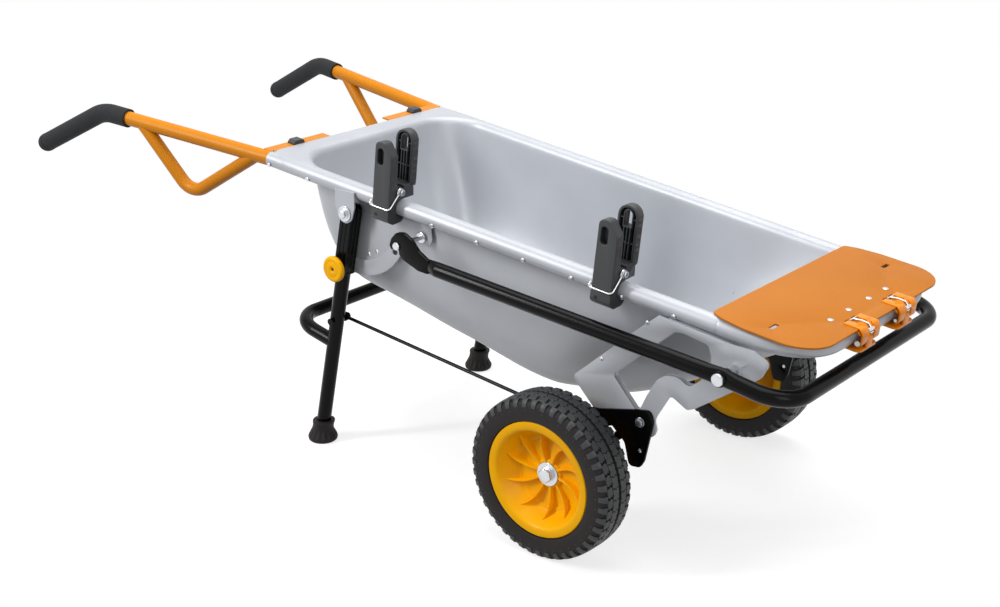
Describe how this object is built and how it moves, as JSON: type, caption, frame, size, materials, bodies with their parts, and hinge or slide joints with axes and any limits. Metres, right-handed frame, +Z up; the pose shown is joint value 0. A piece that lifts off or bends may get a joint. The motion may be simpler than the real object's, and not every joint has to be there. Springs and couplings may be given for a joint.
{
  "type": "wheelbarrow",
  "caption": "Convertible wheelbarrow: steel tub on a tube rim, orange handles, folding legs linked to swinging wheel carriers, hinged toe plate, swinging arm loop and spring tool clips.",
  "frame": {"origin": "middle of the bounding box on the ground, under the middle of the length", "axes": "+X towards the nose, +Y to the left of someone at the handles, +Z up"},
  "size_m": [1.5555, 0.6206, 0.5767],
  "materials": {
    "silver_coat": "satin",
    "orange_coat": "satin",
    "black_coat": "satin",
    "orange_plastic": "satin",
    "black_plastic": "matt",
    "foam": "matt",
    "rubber": "matt",
    "tyre": "matt",
    "zinc": "satin"
  },
  "bodies": {
    "frame": {"tub": "silver_coat", "side_tube_left": "silver_coat", "side_tube_right": "silver_coat", "nose_tube": "silver_coat", "rim_rivets": "zinc", "handle_left": "orange_coat", "handle_right": "orange_coat", "handle_brace_left": "orange_coat", "handle_brace_right": "orange_coat", "grip_left": "foam", "grip_right": "foam", "rear_bracket_left": "orange_coat", "rear_bracket_right": "orange_coat", "bracket_clips": "black_plastic", "leg_hanger_left": "silver_coat", "leg_hanger_right": "silver_coat", "quadrant_left": "silver_coat", "quadrant_right": "silver_coat", "leg_bolts": "zinc", "chassis_left": "silver_coat", "chassis_right": "silver_coat", "carrier_bolts": "zinc", "arm_bolts": "zinc", "arm_pegs": "zinc", "toe_hinge_leaves": "orange_coat", "toe_hinge_pins": "zinc", "clip_base_front": "black_plastic", "clip_base_rear": "black_plastic", "clip_bolts": "zinc"},
    "legs": {"leg_left": "black_coat", "leg_right": "black_coat", "leg_brace": "black_coat", "foot_left": "rubber", "foot_right": "rubber", "stay_bolts": "black_coat"},
    "arms": {"arm_frame": "black_coat", "arm_hook_left": "black_coat", "arm_hook_right": "black_coat"},
    "nose": {"toe_plate": "orange_coat", "toe_latch": "zinc"},
    "knob_left": {"lock_knob_left": "orange_plastic"},
    "stay_left": {"stay_rod_left": "black_coat"},
    "carrier_arm_left": {"carrier_left": "black_coat", "axle_left": "zinc"},
    "road_wheel_left": {"wheel_left": "orange_plastic", "wheel_rim_left": "orange_plastic", "tyre_left": "tyre"},
    "knob_right": {"lock_knob_right": "orange_plastic"},
    "stay_right": {"stay_rod_right": "black_coat"},
    "carrier_arm_right": {"carrier_right": "black_coat", "axle_right": "zinc"},
    "road_wheel_right": {"wheel_right": "orange_plastic", "wheel_rim_right": "orange_plastic", "tyre_right": "tyre"},
    "jaw_front": {"clip_jaw_front": "black_plastic", "clip_bail_front": "zinc"},
    "jaw_rear": {"clip_jaw_rear": "black_plastic", "clip_bail_rear": "zinc"}
  },
  "joints": [
    {"name": "legs_fold", "type": "hinge", "parent": "frame", "child": "legs", "pos_m": [-0.06495, 0, 0.427], "axis": [0, -1, 0], "range_deg": [0, 67.5]},
    {"name": "carrier_swing_left", "type": "hinge", "parent": "frame", "child": "carrier_arm_left", "pos_m": [0.50405, 0.206, 0.218], "axis": [0, -1, 0], "range_deg": [0, 116]},
    {"name": "stay_turn_left", "type": "hinge", "parent": "legs", "child": "stay_left", "pos_m": [-0.10677, 0.19, 0.23142], "axis": [0, -1, 0], "range_deg": [-79.96, 0]},
    {"name": "wheel_spin_left", "type": "hinge", "parent": "carrier_arm_left", "child": "road_wheel_left", "pos_m": [0.39105, 0.27565, 0.127], "axis": [0, 1, 0], "continuous": true},
    {"name": "lock_press_left", "type": "slide", "parent": "legs", "child": "knob_left", "axis": [0, -1, 0], "range_m": [0, 0.006]},
    {"name": "carrier_swing_right", "type": "hinge", "parent": "frame", "child": "carrier_arm_right", "pos_m": [0.50405, -0.206, 0.218], "axis": [0, -1, 0], "range_deg": [0, 116]},
    {"name": "stay_turn_right", "type": "hinge", "parent": "legs", "child": "stay_right", "pos_m": [-0.10677, -0.19, 0.23142], "axis": [0, -1, 0], "range_deg": [-79.96, 0]},
    {"name": "wheel_spin_right", "type": "hinge", "parent": "carrier_arm_right", "child": "road_wheel_right", "pos_m": [0.39105, -0.27565, 0.127], "axis": [0, 1, 0], "continuous": true},
    {"name": "lock_press_right", "type": "slide", "parent": "legs", "child": "knob_right", "axis": [0, 1, 0], "range_m": [0, 0.006]},
    {"name": "arms_swing", "type": "hinge", "parent": "frame", "child": "arms", "pos_m": [0.65105, 0, 0.335], "axis": [0, 1, 0], "range_deg": [0, 90]},
    {"name": "toe_open", "type": "hinge", "parent": "frame", "child": "nose", "pos_m": [0.77118, 0, 0.36771], "axis": [0, 1, 0], "range_deg": [0, 90]},
    {"name": "jaw_open_front", "type": "hinge", "parent": "frame", "child": "jaw_front", "pos_m": [0.42625, -0.20342, 0.43708], "axis": [0.9932, 0.0273, -0.1128], "range_deg": [0, 10], "stiffness_Nm_per_rad": 2, "springref_deg": -17.19},
    {"name": "jaw_open_rear", "type": "hinge", "parent": "frame", "child": "jaw_rear", "pos_m": [0.01092, -0.21485, 0.48426], "axis": [0.9932, 0.0273, -0.1128], "range_deg": [0, 10], "stiffness_Nm_per_rad": 2, "springref_deg": -17.19}
  ],
  "couplings": [
    {"joint": "carrier_swing_left", "follows": "legs_fold", "ratio": 1.7185},
    {"joint": "stay_turn_left", "follows": "legs_fold", "ratio": -1.1845},
    {"joint": "carrier_swing_right", "follows": "legs_fold", "ratio": 1.7185},
    {"joint": "stay_turn_right", "follows": "legs_fold", "ratio": -1.1845}
  ]
}
